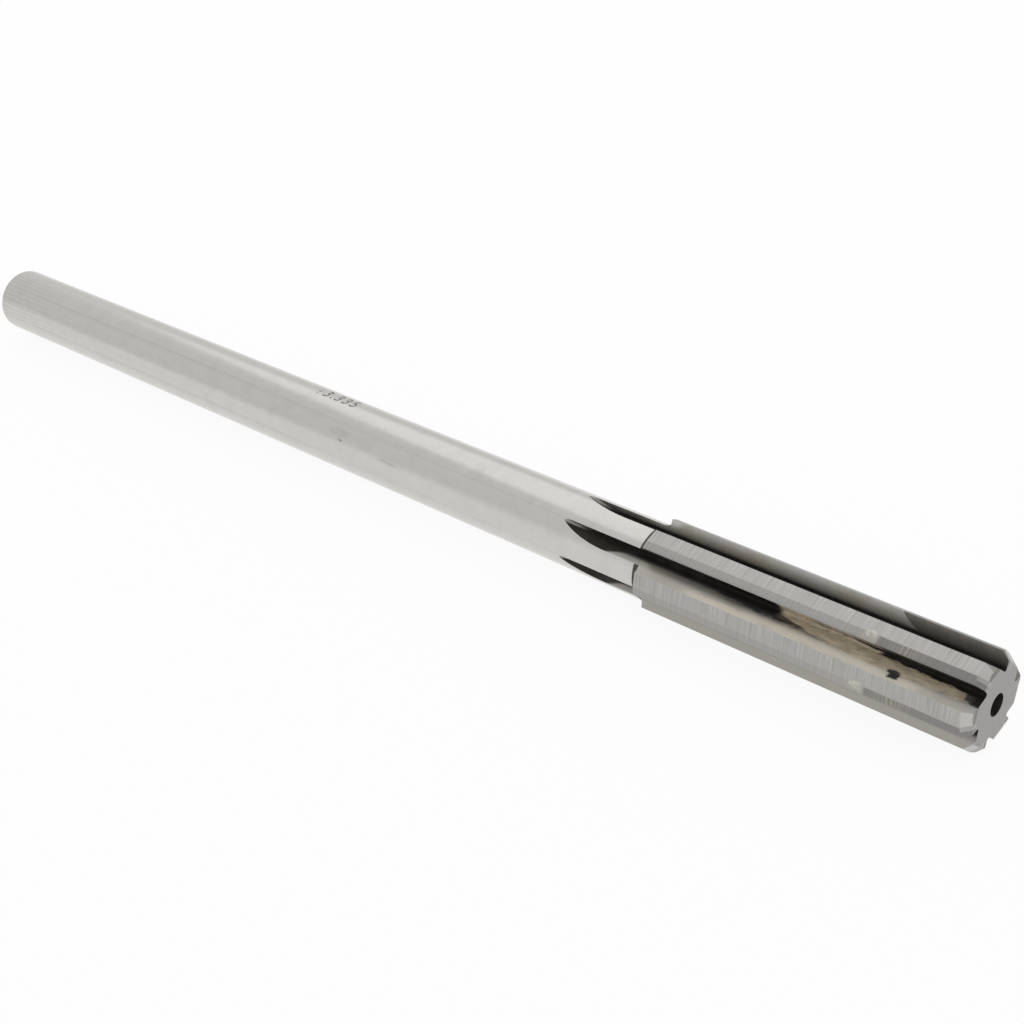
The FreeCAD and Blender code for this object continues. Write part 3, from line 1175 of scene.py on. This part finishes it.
@dataclass
class SizeMark:
    """The tool's own diameter, etched along the shank."""

    material: bpy.types.Material
    text: str = "13.335"
    from_tip: float = 120.3
    turn: float = -7.5
    height: float = 2.3
    spacing: float = 1.12
    proud: float = 0.004
    font_size: float = 1.36
    longest_edge: float = 0.35

    def build(self, sizes: ToolSizes) -> None:
        """Build the figures, wrapped on the shank.

        Args:
            sizes: The tool's sizes.
        """
        curve = bpy.data.curves.new("size_mark_text", "FONT")
        curve.body = self.text
        curve.size = self.height * self.font_size
        curve.space_character = self.spacing
        curve.resolution_u = 6
        writing = bpy.data.objects.new("size_mark_text", curve)
        bpy.context.scene.collection.objects.link(writing)
        bpy.context.view_layer.update()
        flat = bpy.data.meshes.new_from_object(writing)
        bpy.data.objects.remove(writing)
        mesh = bmesh.new()
        mesh.from_mesh(flat)
        bmesh.ops.triangulate(mesh, faces=mesh.faces)
        long_edges = [edge for edge in mesh.edges if edge.calc_length() > self.longest_edge]
        bmesh.ops.subdivide_edges(mesh, edges=long_edges, cuts=2, use_grid_fill=False)
        bmesh.ops.triangulate(mesh, faces=mesh.faces)
        radius = sizes.shank_radius + self.proud
        for vertex in mesh.verts:
            turn = self.turn - math.degrees((vertex.co.y - self.height / 2) / radius)
            vertex.co = sizes.point(self.from_tip - vertex.co.x, turn, radius)
        _add_piece("size_mark", mesh, self.material, Slot.STEEL)


def _add_piece(name: str, mesh: bmesh.types.BMesh, material: bpy.types.Material, slot: Slot) -> None:
    """Turn a mesh into a piece that rides on the tool.

    Args:
        name: The piece's name.
        mesh: Its mesh, in metres.
        material: Its finish.
        slot: The record's slot that the finish belongs to; not used.
    """
    bmesh.ops.recalc_face_normals(mesh, faces=mesh.faces)
    data = bpy.data.meshes.new(name)
    mesh.to_mesh(data)
    mesh.free()
    data.shade_smooth()
    data.materials.append(material)
    piece = bpy.data.objects.new(name, data)
    bpy.context.scene.collection.objects.link(piece)
    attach(piece, BODY)
    LOG.info("%s: %d faces", name, len(data.polygons))


@dataclass
class Reamer:
    """The tool: its solids dressed in their finishes, and the pieces added on them."""

    sizes: ToolSizes
    steel: GroundSteel = field(default_factory=GroundSteel)
    carbide: GroundCarbide = field(default_factory=GroundCarbide)
    braze: SilverBraze = field(default_factory=SilverBraze)
    etching: EtchedMark = field(default_factory=EtchedMark)

    def dress(self, nodes: dict[str, bpy.types.Object]) -> None:
        """Give each solid its finish.

        Args:
            nodes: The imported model's solids by name.
        """
        finishes = {
            "reamer_body": self.steel.material(self.sizes),
            "carbide_tip": self.carbide.material(self.sizes),
            "braze_seam": self.braze.seam_material(self.sizes),
        }
        for name, node in nodes.items():
            material = next(finish for start, finish in finishes.items() if name.startswith(start))
            for slot in node.material_slots:
                slot.material = material
            LOG.info("%s: %s", name, material.name)

    def add_pieces(self, nodes: dict[str, bpy.types.Object]) -> None:
        """Add the braze beads and the size mark.

        Args:
            nodes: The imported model's solids by name.
        """
        surface = self._surface(nodes)
        BrazeBead(self.braze.bead_material()).build(self.sizes, surface)
        SizeMark(self.etching.material()).build(self.sizes)

    @staticmethod
    def _surface(nodes: dict[str, bpy.types.Object]) -> BVHTree:
        """Return all the solids' faces as one surface.

        Args:
            nodes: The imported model's solids by name.

        Returns:
            The surface, for laying pieces on.
        """
        points: list[Vector] = []
        faces: list[list[int]] = []
        for node in nodes.values():
            start = len(points)
            points.extend(vertex.co.copy() for vertex in node.data.vertices)
            faces.extend([start + index for index in face.vertices] for face in node.data.polygons)
        return BVHTree.FromPolygons(points, faces)


@dataclass
class Studio:
    """A pale floor, a plain surround and one soft light."""

    floor_level: float
    floor_size: float = 12.0
    floor_colour: Colour = (0.97, 0.97, 0.97)
    floor_lift: float = 0.92
    surround: Colour = (0.81, 0.81, 0.81)
    light_height: float = 0.75
    light_azimuth: float = 43.5
    light_centre: tuple[float, float] = (0.10, 0.70)
    light_size: tuple[float, float] = (0.95, 1.3)
    light_radiance: float = 0.34
    light_colour: Colour = (1.0, 0.985, 0.96)

    def build(self) -> None:
        """Build the floor, the surround and the light."""
        self._floor()
        self._surround()
        self._light()

    def _floor(self) -> None:
        """Lay the floor under the tool; what is seen of it is white, with the tool's shadow kept faint."""
        half = self.floor_size / 2
        mesh = bpy.data.meshes.new("floor")
        corners = [(-half, -half), (half, -half), (half, half), (-half, half)]
        mesh.from_pydata([(x, y, self.floor_level) for x, y in corners], [], [(0, 1, 2, 3)])
        floor = bpy.data.objects.new("floor", mesh)
        bpy.context.scene.collection.objects.link(floor)
        graph = Graph("white_floor")
        graph.tree.nodes.remove(graph.shader)
        paint = graph.node("BsdfDiffuse", self.floor_colour).outputs[0]
        white = graph.node("Emission", (1.0, 1.0, 1.0), 1.0).outputs[0]
        path = graph.node("LightPath").outputs
        seen = graph.math("ADD", path["Is Camera Ray"], path["Is Glossy Ray"], clamp=True)
        seen = graph.math("ADD", seen, path["Is Transmission Ray"], clamp=True)
        lift = graph.math("MULTIPLY", seen, self.floor_lift)
        mixed = graph.node("MixShader", lift, paint, white).outputs[0]
        graph.feed(graph.tree.nodes["Material Output"].inputs["Surface"], mixed)
        mesh.materials.append(graph.material)
        floor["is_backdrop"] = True

    def _surround(self) -> None:
        """Light the tool evenly from all round."""
        world = bpy.data.worlds.new("surround")
        world.use_nodes = True
        background = world.node_tree.nodes["Background"]
        background.inputs["Color"].default_value = (*self.surround, 1.0)
        background.inputs["Strength"].default_value = 1.0
        bpy.context.scene.world = world

    def _light(self) -> None:
        """Hang the soft light above the tool."""
        light = bpy.data.lights.new("soft_light", "AREA")
        light.shape = "RECTANGLE"
        light.size, light.size_y = self.light_size
        light.color = self.light_colour
        light.energy = self.light_radiance * math.pi * self.light_size[0] * self.light_size[1]
        lamp = bpy.data.objects.new("soft_light", light)
        turned = Matrix.Rotation(math.radians(self.light_azimuth), 4, "Z")
        lamp.matrix_world = turned @ Matrix.Translation((*self.light_centre, self.light_height))
        bpy.context.scene.collection.objects.link(lamp)


@dataclass
class OrbitCamera:
    """The camera, placed on a sphere round the point that it looks at."""

    sizes: ToolSizes
    from_shank_end: float = 127.03
    turn: float = 90.0
    off_axis: float = 2.13
    azimuth: float = -46.5024
    elevation: float = 30.2821
    distance: float = 0.244896
    roll: float = 2.6417
    lens: float = 59.2244
    sensor: float = 36.0
    nearest: float = 0.005

    def build(self) -> None:
        """Build the camera and make it the scene's."""
        data = bpy.data.cameras.new("camera")
        data.lens = self.lens
        data.sensor_width = self.sensor
        data.clip_start = self.nearest
        camera = bpy.data.objects.new("camera", data)
        azimuth, elevation = math.radians(self.azimuth), math.radians(self.elevation)
        outward = Vector(
            (
                math.cos(elevation) * math.cos(azimuth),
                math.cos(elevation) * math.sin(azimuth),
                math.sin(elevation),
            )
        )
        facing = (-outward).to_track_quat("-Z", "Y").to_matrix().to_4x4()
        turned = facing @ Matrix.Rotation(math.radians(-self.roll), 4, "Z")
        target = self.sizes.point(self.sizes.length - self.from_shank_end, self.turn, self.off_axis)
        camera.matrix_world = Matrix.Translation(target + outward * self.distance) @ turned
        bpy.context.scene.collection.objects.link(camera)
        bpy.context.scene.camera = camera


def main() -> None:
    """Build the scene."""
    logging.basicConfig(level=logging.INFO, format="%(name)s: %(message)s")
    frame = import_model()
    sizes = ToolSizes.measure(frame)
    LOG.info("sizes: %s", sizes)
    bpy.context.scene.view_settings.view_transform = "Standard"
    OrbitCamera(sizes).build()
    reamer = Reamer(sizes)
    reamer.dress(frame["nodes"])
    reamer.add_pieces(frame["nodes"])
    Studio(floor_level=sizes.floor * MM).build()


if __name__ == "__main__":
    main()
